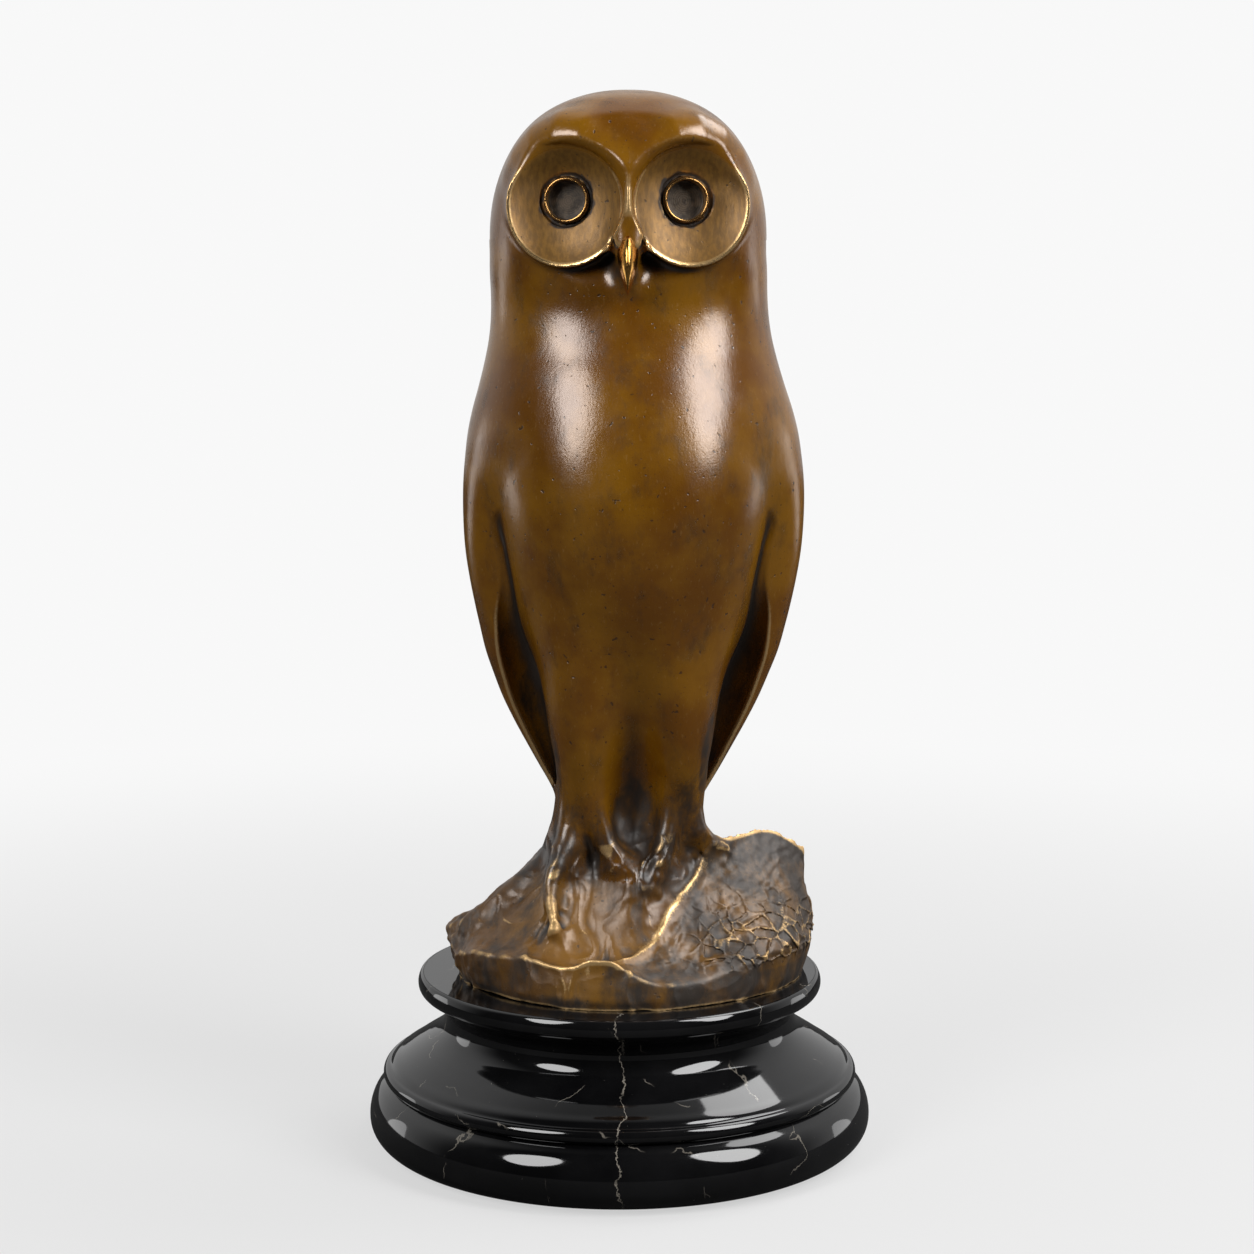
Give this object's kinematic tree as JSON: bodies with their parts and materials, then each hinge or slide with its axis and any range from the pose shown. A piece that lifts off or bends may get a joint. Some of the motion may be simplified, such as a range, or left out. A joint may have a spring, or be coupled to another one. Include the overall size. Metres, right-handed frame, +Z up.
{
  "type": "owl figurine",
  "caption": "Standing bronze owl with folded wings and round facial discs on a bronze rock, bolted to a turned black marble base.",
  "frame": {"origin": "centre of the felt pad's underside, on the axis of the marble base, where the figurine rests on a table", "axes": "+Z up, the owl looks along -Y, +X is to the right of a viewer facing the owl"},
  "size_m": [0.1406, 0.1406, 0.29],
  "materials": {
    "bronze": "olive-brown patina over cast bronze, waxed, rubbed bright on ridges",
    "rock_bronze": "olive-brown patina, rough-chased, rubbed bright on crests",
    "eye_bronze": "turned bronze, dark floor, bright lip",
    "bright_bronze": "polished bronze",
    "steel": "zinc-plated",
    "marble": "polished black marble with fine white veins",
    "felt": "wool felt"
  },
  "bodies": {
    "root": {"owl_casting": "bronze", "rock_casting": "rock_bronze", "eye_cup_left": "eye_bronze", "eye_cup_right": "eye_bronze", "beak": "bright_bronze", "joint_sleeve": "bright_bronze", "joint_pins": "bright_bronze", "cross_bar": "steel", "stud": "steel", "upper_nut": "steel", "lower_nut": "steel", "large_washer": "steel", "spring_washer": "steel", "locating_pin": "steel", "marble_base": "marble", "felt_pad": "felt"}
  },
  "joints": []
}
